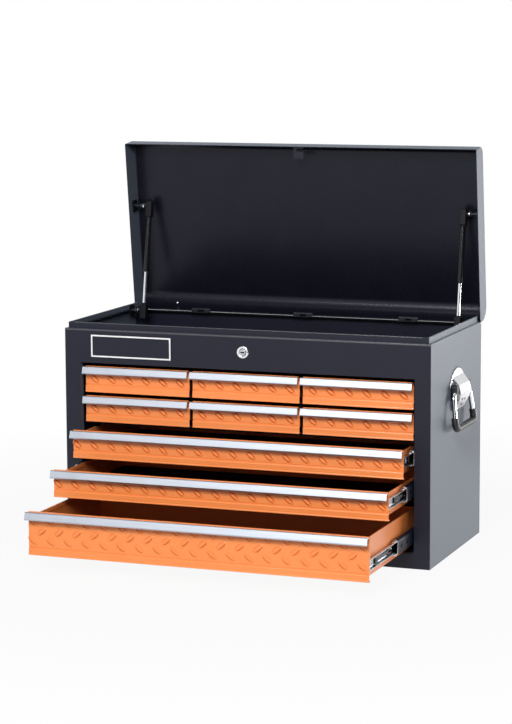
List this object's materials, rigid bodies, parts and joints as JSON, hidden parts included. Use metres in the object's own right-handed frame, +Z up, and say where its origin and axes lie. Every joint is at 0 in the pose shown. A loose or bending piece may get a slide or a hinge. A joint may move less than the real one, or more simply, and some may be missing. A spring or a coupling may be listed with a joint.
{
  "type": "tool chest",
  "caption": "Steel tool chest with a lift-up lid on gas struts over a till, small drawers above and wide drawers on ball slides below, and a bail handle on each side.",
  "frame": {"origin": "middle of the underside of the case, on the surface that it stands on", "axes": "+X to the right seen from the front, +Y to the back, +Z up; the drawers pull out towards -Y"},
  "size_m": [0.7028, 0.5833, 0.6852],
  "materials": {
    "paint": "satin powder coat, very dark blue black",
    "inner_paint": "satin",
    "orange_paint": "gloss orange",
    "aluminium": "satin",
    "zinc": "zinc plated",
    "dark_steel": "satin black plating",
    "strut_tube": "gloss black",
    "chrome": "polished",
    "grip_rubber": "satin black"
  },
  "bodies": {
    "case": {"cabinet_shell": "paint", "front_frame": "paint", "back_panel": "paint", "till_floor": "inner_paint", "drawer_frame": "inner_paint", "hinge_left_body_leaf": "dark_steel", "hinge_middle_body_leaf": "dark_steel", "hinge_right_body_leaf": "dark_steel", "strut_left_body_stud": "zinc", "strut_right_body_stud": "zinc", "lock_housing": "chrome", "handle_left_bracket": "chrome", "handle_right_bracket": "chrome"},
    "lid": {"lid": "paint", "lid_keeper": "dark_steel", "hinge_left_lid_leaf": "dark_steel", "hinge_middle_lid_leaf": "dark_steel", "hinge_right_lid_leaf": "dark_steel", "strut_left_lid_stud": "zinc", "strut_right_lid_stud": "zinc"},
    "strut_left_cylinder": {"strut_left_cylinder": "strut_tube"},
    "strut_left_rod": {"strut_left_rod": "chrome"},
    "strut_right_cylinder": {"strut_right_cylinder": "strut_tube"},
    "strut_right_rod": {"strut_right_rod": "chrome"},
    "lock": {"lock_plug": "chrome", "lock_cam": "dark_steel"},
    "handle_left": {"handle_left_bail": "chrome", "handle_left_grip": "grip_rubber"},
    "handle_right": {"handle_right_bail": "chrome", "handle_right_grip": "grip_rubber"},
    "small_drawer_bottom_left": {"small_drawer_bottom_left": "orange_paint", "small_drawer_bottom_left_trim": "aluminium"},
    "small_drawer_bottom_middle": {"small_drawer_bottom_middle": "orange_paint", "small_drawer_bottom_middle_trim": "aluminium"},
    "small_drawer_bottom_right": {"small_drawer_bottom_right": "orange_paint", "small_drawer_bottom_right_trim": "aluminium"},
    "small_drawer_top_left": {"small_drawer_top_left": "orange_paint", "small_drawer_top_left_trim": "aluminium"},
    "small_drawer_top_middle": {"small_drawer_top_middle": "orange_paint", "small_drawer_top_middle_trim": "aluminium"},
    "small_drawer_top_right": {"small_drawer_top_right": "orange_paint", "small_drawer_top_right_trim": "aluminium"},
    "wide_drawer_upper": {"wide_drawer_upper": "orange_paint", "wide_drawer_upper_trim": "aluminium", "slide_upper_left_inner": "zinc", "slide_upper_right_inner": "zinc"},
    "slide_upper_left_mid": {"slide_upper_left_mid": "dark_steel"},
    "slide_upper_right_mid": {"slide_upper_right_mid": "dark_steel"},
    "wide_drawer_middle": {"wide_drawer_middle": "orange_paint", "wide_drawer_middle_trim": "aluminium", "slide_middle_left_inner": "zinc", "slide_middle_right_inner": "zinc"},
    "slide_middle_left_mid": {"slide_middle_left_mid": "dark_steel"},
    "slide_middle_right_mid": {"slide_middle_right_mid": "dark_steel"},
    "wide_drawer_deep": {"wide_drawer_deep": "orange_paint", "wide_drawer_deep_trim": "aluminium", "slide_deep_left_inner": "zinc", "slide_deep_right_inner": "zinc"},
    "slide_deep_left_mid": {"slide_deep_left_mid": "dark_steel"},
    "slide_deep_right_mid": {"slide_deep_right_mid": "dark_steel"}
  },
  "joints": [
    {"name": "lid_hinge", "type": "hinge", "parent": "case", "child": "lid", "pos_m": [0, 0.1503, 0.3795], "axis": [1, 0, 0], "range_deg": [0, 83], "stiffness_Nm_per_rad": 1.6, "springref_deg": -45.84},
    {"name": "strut_left_swing", "type": "hinge", "parent": "lid", "child": "strut_left_cylinder", "pos_m": [-0.298, 0.14894, 0.56703], "axis": [1, 0, 0], "range_deg": [0, 7.68]},
    {"name": "strut_left_stroke", "type": "slide", "parent": "strut_left_cylinder", "child": "strut_left_rod", "axis": [0, 0.1667, 0.986], "range_m": [0, 0.0381]},
    {"name": "strut_right_swing", "type": "hinge", "parent": "lid", "child": "strut_right_cylinder", "pos_m": [0.298, 0.14894, 0.56703], "axis": [1, 0, 0], "range_deg": [0, 7.68]},
    {"name": "strut_right_stroke", "type": "slide", "parent": "strut_right_cylinder", "child": "strut_right_rod", "axis": [0, 0.1667, 0.986], "range_m": [0, 0.0381]},
    {"name": "lock_turn", "type": "hinge", "parent": "case", "child": "lock", "pos_m": [0, -0.15, 0.35], "axis": [0, -1, 0], "range_deg": [0, 90]},
    {"name": "handle_left_swing", "type": "hinge", "parent": "case", "child": "handle_left", "pos_m": [-0.338, 0, 0.28], "axis": [0, 1, 0], "range_deg": [0, 80]},
    {"name": "handle_right_swing", "type": "hinge", "parent": "case", "child": "handle_right", "pos_m": [0.338, 0, 0.28], "axis": [0, -1, 0], "range_deg": [0, 80]},
    {"name": "small_drawer_bottom_left_pull", "type": "slide", "parent": "case", "child": "small_drawer_bottom_left", "axis": [0, -1, 0], "range_m": [0, 0.2]},
    {"name": "small_drawer_bottom_middle_pull", "type": "slide", "parent": "case", "child": "small_drawer_bottom_middle", "axis": [0, -1, 0], "range_m": [0, 0.2]},
    {"name": "small_drawer_bottom_right_pull", "type": "slide", "parent": "case", "child": "small_drawer_bottom_right", "axis": [0, -1, 0], "range_m": [0, 0.2]},
    {"name": "small_drawer_top_left_pull", "type": "slide", "parent": "case", "child": "small_drawer_top_left", "axis": [0, -1, 0], "range_m": [0, 0.2]},
    {"name": "small_drawer_top_middle_pull", "type": "slide", "parent": "case", "child": "small_drawer_top_middle", "axis": [0, -1, 0], "range_m": [0, 0.2]},
    {"name": "small_drawer_top_right_pull", "type": "slide", "parent": "case", "child": "small_drawer_top_right", "axis": [0, -1, 0], "range_m": [0, 0.2]},
    {"name": "wide_drawer_upper_pull", "type": "slide", "parent": "case", "child": "wide_drawer_upper", "axis": [0, -1, 0], "range_m": [-0.055, 0.205]},
    {"name": "slide_upper_left_mid_travel", "type": "slide", "parent": "case", "child": "slide_upper_left_mid", "axis": [0, -1, 0], "range_m": [-0.0275, 0.1025]},
    {"name": "slide_upper_right_mid_travel", "type": "slide", "parent": "case", "child": "slide_upper_right_mid", "axis": [0, -1, 0], "range_m": [-0.0275, 0.1025]},
    {"name": "wide_drawer_middle_pull", "type": "slide", "parent": "case", "child": "wide_drawer_middle", "axis": [0, -1, 0], "range_m": [-0.135, 0.125]},
    {"name": "slide_middle_left_mid_travel", "type": "slide", "parent": "case", "child": "slide_middle_left_mid", "axis": [0, -1, 0], "range_m": [-0.0675, 0.0625]},
    {"name": "slide_middle_right_mid_travel", "type": "slide", "parent": "case", "child": "slide_middle_right_mid", "axis": [0, -1, 0], "range_m": [-0.0675, 0.0625]},
    {"name": "wide_drawer_deep_pull", "type": "slide", "parent": "case", "child": "wide_drawer_deep", "axis": [0, -1, 0], "range_m": [-0.235, 0.025]},
    {"name": "slide_deep_left_mid_travel", "type": "slide", "parent": "case", "child": "slide_deep_left_mid", "axis": [0, -1, 0], "range_m": [-0.1175, 0.0125]},
    {"name": "slide_deep_right_mid_travel", "type": "slide", "parent": "case", "child": "slide_deep_right_mid", "axis": [0, -1, 0], "range_m": [-0.1175, 0.0125]}
  ],
  "couplings": [
    {"joint": "strut_left_swing", "follows": "lid_hinge", "ratio": 0.0924},
    {"joint": "strut_left_stroke", "follows": "lid_hinge", "m_per_rad": 0.02627},
    {"joint": "strut_right_swing", "follows": "lid_hinge", "ratio": 0.0924},
    {"joint": "strut_right_stroke", "follows": "lid_hinge", "m_per_rad": 0.02627},
    {"joint": "slide_upper_left_mid_travel", "follows": "wide_drawer_upper_pull", "ratio": 0.5},
    {"joint": "slide_upper_right_mid_travel", "follows": "wide_drawer_upper_pull", "ratio": 0.5},
    {"joint": "slide_middle_left_mid_travel", "follows": "wide_drawer_middle_pull", "ratio": 0.5},
    {"joint": "slide_middle_right_mid_travel", "follows": "wide_drawer_middle_pull", "ratio": 0.5},
    {"joint": "slide_deep_left_mid_travel", "follows": "wide_drawer_deep_pull", "ratio": 0.5},
    {"joint": "slide_deep_right_mid_travel", "follows": "wide_drawer_deep_pull", "ratio": 0.5}
  ]
}
